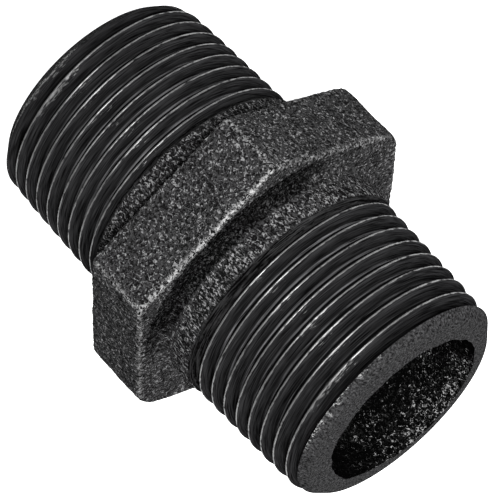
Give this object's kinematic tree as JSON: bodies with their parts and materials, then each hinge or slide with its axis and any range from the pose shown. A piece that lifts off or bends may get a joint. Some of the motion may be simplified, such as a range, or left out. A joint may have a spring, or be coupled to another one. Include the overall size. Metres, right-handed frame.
{
  "type": "hex nipple",
  "caption": "Short cast pipe nipple: a hexagonal wrench collar between two tapered male pipe threads, with a plain bore right through.",
  "frame": {"origin": "middle of the length, on the centre line of the bore", "axes": "+X along the bore towards the front threaded end, +Z out of the upper wrench flat, +Y through a corner of the hexagon"},
  "size_m": [0.048, 0.0372, 0.0336],
  "materials": {
    "black_iron": "black malleable iron, rough as cast on the collar, neck and bore, smoother and darker on the cut threads"
  },
  "bodies": {
    "root": {"nipple_body": "black_iron"}
  },
  "joints": []
}
